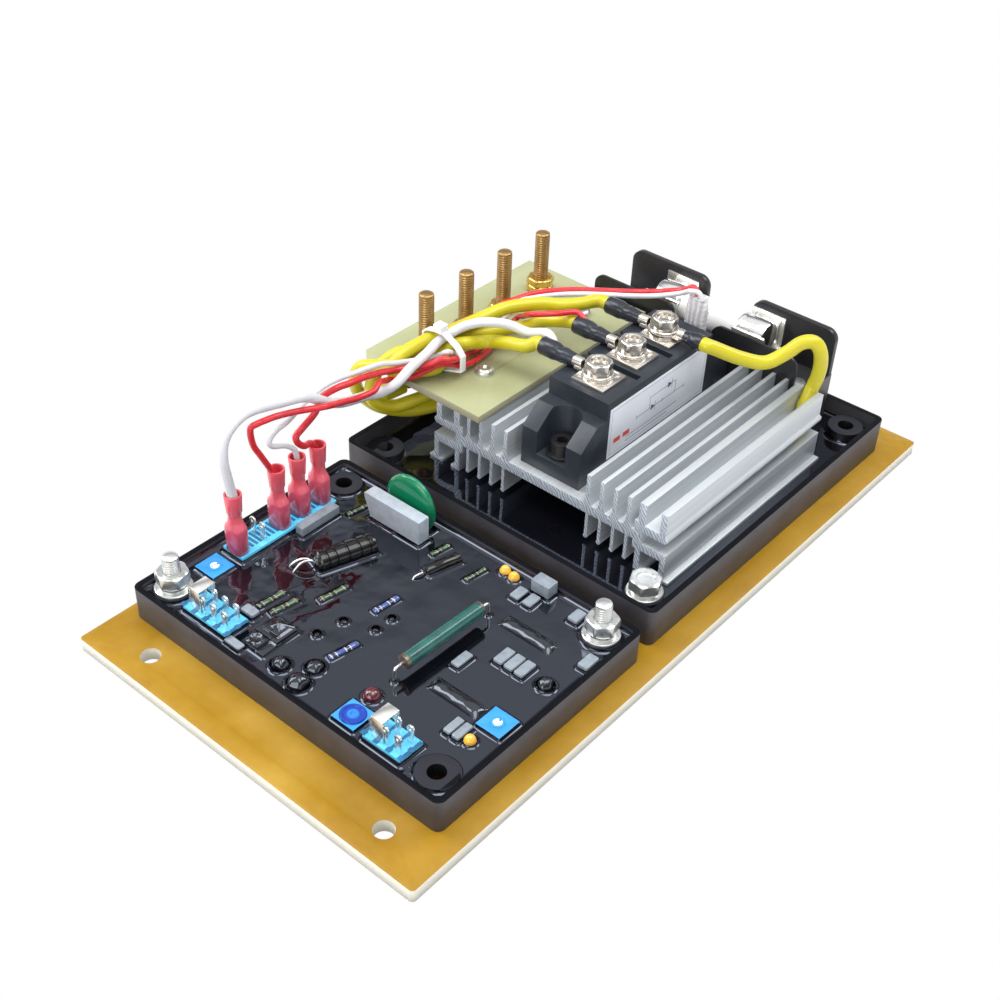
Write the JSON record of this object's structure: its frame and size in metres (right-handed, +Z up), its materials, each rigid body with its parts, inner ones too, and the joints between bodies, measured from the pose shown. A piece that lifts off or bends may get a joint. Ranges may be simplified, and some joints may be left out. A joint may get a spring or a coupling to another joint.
{
  "type": "automatic voltage regulator",
  "caption": "Generator voltage regulator: resin-filled control and power trays on an insulating board, with finned heat sink, thyristor module, stud terminals and a fuse.",
  "frame": {"origin": "centre of the base board's underside", "axes": "+X right across the board, +Y along the board towards the fuse, +Z up from the board"},
  "size_m": [0.165, 0.296, 0.0729],
  "materials": {
    "board_laminate": "glossy amber laminate with pale cut edges",
    "tray_plastic": "satin black moulding",
    "potting": "glossy black cast resin",
    "circuit_board": "matt laminate",
    "zinc": "bright zinc plate",
    "sink_aluminium": "satin extrusion with sawn ends",
    "module_plastic": "satin slate moulding",
    "module_plate": "nickel plated",
    "label_paper": "blank satin label",
    "nickel": "bright nickel plate",
    "black_steel": "black oxide",
    "black_boot": "soft gloss sleeve",
    "terminal_laminate": "satin pale green laminate",
    "stud_brass": "dull bronze-coloured thread",
    "nut_brass": "machined",
    "block_plastic": "satin black moulding",
    "clip_metal": "tinned spring metal",
    "fuse_ceramic": "glazed white tube",
    "fuse_cap_metal": "bright plated cap",
    "trimmer_blue": "glossy blue moulding",
    "rotor_white": "satin white",
    "rotor_blue": "glossy dark blue",
    "connector_cyan": "glossy pale blue moulding",
    "tab_tin": "tinned blades",
    "sleeve_pink": "translucent pink-red insulation",
    "clear_sleeve": "clear ribbed sleeve",
    "capacitor_grey": "satin grey box",
    "varistor_green": "glossy green dip coat",
    "resistor_enamel": "teal glazed coating",
    "electrolytic_sleeve": "glossy black sleeve under resin film",
    "resistor_body": "glossy lacquer",
    "resin_lump": "resin covered part",
    "tantalum_orange": "glossy orange dip coat",
    "lamp_red": "dark red lens",
    "wire_yellow": "semi-gloss yellow insulation",
    "wire_white": "semi-gloss white insulation",
    "wire_red": "semi-gloss red insulation",
    "tie_nylon": "natural nylon"
  },
  "bodies": {
    "regulator": {"base_board": "board_laminate", "regulator_tray": "tray_plastic", "regulator_potting": "potting", "regulator_circuit_board": "circuit_board", "power_tray": "tray_plastic", "power_potting": "potting", "power_circuit_board": "circuit_board", "tray_studs": "zinc", "tray_nuts": "zinc", "tray_bolts": "zinc", "heat_sink": "sink_aluminium", "module_base": "module_plate", "module_housing": "module_plastic", "module_label": "label_paper", "module_terminals": "nickel", "module_screws": "nickel", "module_bolts": "black_steel", "ring_lugs": "nickel", "lug_boots": "black_boot", "terminal_board": "terminal_laminate", "terminal_studs": "stud_brass", "terminal_nuts": "nut_brass", "terminal_board_screws": "zinc", "fuse_block": "block_plastic", "fuse_clips": "clip_metal", "fuse_body": "fuse_ceramic", "fuse_caps": "fuse_cap_metal", "fuse_block_screws": "zinc", "trimmer_a_body": "trimmer_blue", "trimmer_b_body": "trimmer_blue", "trimmer_c_body": "trimmer_blue", "output_connector": "connector_cyan", "link_connector_a": "connector_cyan", "link_connector_b": "connector_cyan", "contact_tabs": "tab_tin", "shorting_links": "tab_tin", "faston_sleeves": "sleeve_pink", "gate_sleeve": "clear_sleeve", "film_capacitor": "capacitor_grey", "varistor": "varistor_green", "power_resistor": "resistor_enamel", "electrolytics": "electrolytic_sleeve", "box_capacitors": "capacitor_grey", "small_resistors": "resistor_body", "transistor": "resin_lump", "resin_domes": "resin_lump", "resin_ridges": "resin_lump", "tantalum_beads": "tantalum_orange", "indicator_lamp": "lamp_red", "yellow_leads": "wire_yellow", "white_lead": "wire_white", "thin_white_lead": "wire_white", "red_leads": "wire_red", "cable_tie": "tie_nylon"},
    "rotor_a": {"trimmer_a_rotor": "rotor_white"},
    "rotor_b": {"trimmer_b_rotor": "rotor_blue"},
    "rotor_c": {"trimmer_c_rotor": "rotor_white"}
  },
  "joints": [
    {"name": "trimmer_a_turn", "type": "hinge", "parent": "regulator", "child": "rotor_a", "pos_m": [-0.0606, -0.1015, 0.0164], "axis": [0, 0, 1], "range_deg": [-135, 135]},
    {"name": "trimmer_b_turn", "type": "hinge", "parent": "regulator", "child": "rotor_b", "pos_m": [0.0232, -0.1185, 0.0164], "axis": [0, 0, 1], "range_deg": [-135, 135]},
    {"name": "trimmer_c_turn", "type": "hinge", "parent": "regulator", "child": "rotor_c", "pos_m": [0.058, -0.0911, 0.0164], "axis": [0, 0, 1], "range_deg": [-135, 135]}
  ]
}
